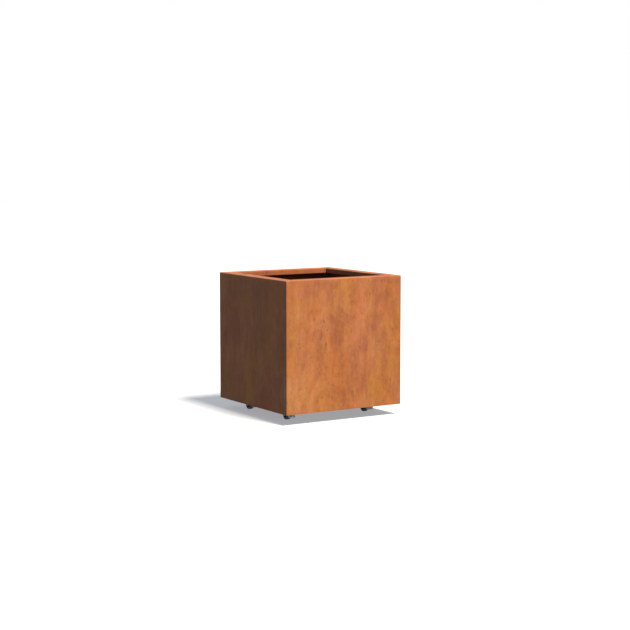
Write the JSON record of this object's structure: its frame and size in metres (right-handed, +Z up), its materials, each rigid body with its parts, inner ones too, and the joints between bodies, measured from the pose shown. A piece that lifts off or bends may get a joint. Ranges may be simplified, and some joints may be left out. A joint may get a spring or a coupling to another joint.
{
  "type": "planter box",
  "caption": "Square weathering-steel planter box with a double-folded rim and a raised drained floor, standing on swivel castors with foot brakes.",
  "frame": {"origin": "middle of the box on the ground", "axes": "+Z up, -Y towards the front wall, +X towards the right wall"},
  "size_m": [0.6, 0.6, 0.632],
  "materials": {
    "weathering_steel": "matt rust patina, orange brown with darker and lighter blotches and fine pitting",
    "weld_metal": "rusted weld bead",
    "zinc_plated_steel": "zinc plate, dulled",
    "bright_steel": "polished bearing balls",
    "wheel_plastic": "moulded dark plastic",
    "wheel_rubber": "dark rubber tread, slightly dusty"
  },
  "bodies": {
    "planter": {"front_wall": "weathering_steel", "rear_wall": "weathering_steel", "left_wall": "weathering_steel", "right_wall": "weathering_steel", "corner_welds": "weld_metal", "rim_welds": "weld_metal", "floor_tray": "weathering_steel", "tray_welds": "weld_metal", "front_channel": "weathering_steel", "rear_channel": "weathering_steel", "castor_pads": "weathering_steel", "castor_bolts": "zinc_plated_steel", "castor_washers": "zinc_plated_steel", "castor_nuts": "zinc_plated_steel", "front_left_plate": "zinc_plated_steel", "front_left_kingpin": "zinc_plated_steel", "front_left_race_balls": "bright_steel", "front_right_plate": "zinc_plated_steel", "front_right_kingpin": "zinc_plated_steel", "front_right_race_balls": "bright_steel", "rear_left_plate": "zinc_plated_steel", "rear_left_kingpin": "zinc_plated_steel", "rear_left_race_balls": "bright_steel", "rear_right_plate": "zinc_plated_steel", "rear_right_kingpin": "zinc_plated_steel", "rear_right_race_balls": "bright_steel"},
    "front_left_fork": {"front_left_fork": "zinc_plated_steel", "front_left_axle_bolt": "zinc_plated_steel", "front_left_axle_nut": "zinc_plated_steel", "front_left_pedal_pin": "zinc_plated_steel"},
    "front_left_wheel": {"front_left_wheel_hub": "wheel_plastic", "front_left_wheel_tyre": "wheel_rubber"},
    "front_left_brake": {"front_left_brake_pedal": "zinc_plated_steel"},
    "front_right_fork": {"front_right_fork": "zinc_plated_steel", "front_right_axle_bolt": "zinc_plated_steel", "front_right_axle_nut": "zinc_plated_steel", "front_right_pedal_pin": "zinc_plated_steel"},
    "front_right_wheel": {"front_right_wheel_hub": "wheel_plastic", "front_right_wheel_tyre": "wheel_rubber"},
    "front_right_brake": {"front_right_brake_pedal": "zinc_plated_steel"},
    "rear_left_fork": {"rear_left_fork": "zinc_plated_steel", "rear_left_axle_bolt": "zinc_plated_steel", "rear_left_axle_nut": "zinc_plated_steel", "rear_left_pedal_pin": "zinc_plated_steel"},
    "rear_left_wheel": {"rear_left_wheel_hub": "wheel_plastic", "rear_left_wheel_tyre": "wheel_rubber"},
    "rear_left_brake": {"rear_left_brake_pedal": "zinc_plated_steel"},
    "rear_right_fork": {"rear_right_fork": "zinc_plated_steel", "rear_right_axle_bolt": "zinc_plated_steel", "rear_right_axle_nut": "zinc_plated_steel", "rear_right_pedal_pin": "zinc_plated_steel"},
    "rear_right_wheel": {"rear_right_wheel_hub": "wheel_plastic", "rear_right_wheel_tyre": "wheel_rubber"},
    "rear_right_brake": {"rear_right_brake_pedal": "zinc_plated_steel"}
  },
  "joints": [
    {"name": "front_left_swivel", "type": "hinge", "parent": "planter", "child": "front_left_fork", "pos_m": [-0.207, -0.165, 0.06], "axis": [0, 0, 1], "continuous": true},
    {"name": "front_left_wheel_spin", "type": "hinge", "parent": "front_left_fork", "child": "front_left_wheel", "pos_m": [-0.20432, -0.14316, 0.025], "axis": [-0.9925, 0.1219, 0], "continuous": true},
    {"name": "front_left_brake_lift", "type": "hinge", "parent": "front_left_fork", "child": "front_left_brake", "pos_m": [-0.20639, -0.16004, 0.0495], "axis": [-0.9925, 0.1219, 0], "range_deg": [0, 20]},
    {"name": "front_right_swivel", "type": "hinge", "parent": "planter", "child": "front_right_fork", "pos_m": [0.207, -0.165, 0.06], "axis": [0, 0, 1], "continuous": true},
    {"name": "front_right_wheel_spin", "type": "hinge", "parent": "front_right_fork", "child": "front_right_wheel", "pos_m": [0.20892, -0.14308, 0.025], "axis": [-0.9962, 0.0872, 0], "continuous": true},
    {"name": "front_right_brake_lift", "type": "hinge", "parent": "front_right_fork", "child": "front_right_brake", "pos_m": [0.20744, -0.16002, 0.0495], "axis": [-0.9962, 0.0872, 0], "range_deg": [0, 20]},
    {"name": "rear_left_swivel", "type": "hinge", "parent": "planter", "child": "rear_left_fork", "pos_m": [-0.207, 0.165, 0.06], "axis": [0, 0, 1], "continuous": true},
    {"name": "rear_left_wheel_spin", "type": "hinge", "parent": "rear_left_fork", "child": "rear_left_wheel", "pos_m": [-0.20623, 0.18699, 0.025], "axis": [-0.9994, 0.0349, 0], "continuous": true},
    {"name": "rear_left_brake_lift", "type": "hinge", "parent": "rear_left_fork", "child": "rear_left_brake", "pos_m": [-0.20683, 0.17, 0.0495], "axis": [-0.9994, 0.0349, 0], "range_deg": [0, 20]},
    {"name": "rear_right_swivel", "type": "hinge", "parent": "planter", "child": "rear_right_fork", "pos_m": [0.207, 0.165, 0.06], "axis": [0, 0, 1], "continuous": true},
    {"name": "rear_right_wheel_spin", "type": "hinge", "parent": "rear_right_fork", "child": "rear_right_wheel", "pos_m": [0.21232, 0.18635, 0.025], "axis": [-0.9703, 0.2419, 0], "continuous": true},
    {"name": "rear_right_brake_lift", "type": "hinge", "parent": "rear_right_fork", "child": "rear_right_brake", "pos_m": [0.20821, 0.16985, 0.0495], "axis": [-0.9703, 0.2419, 0], "range_deg": [0, 20]}
  ]
}
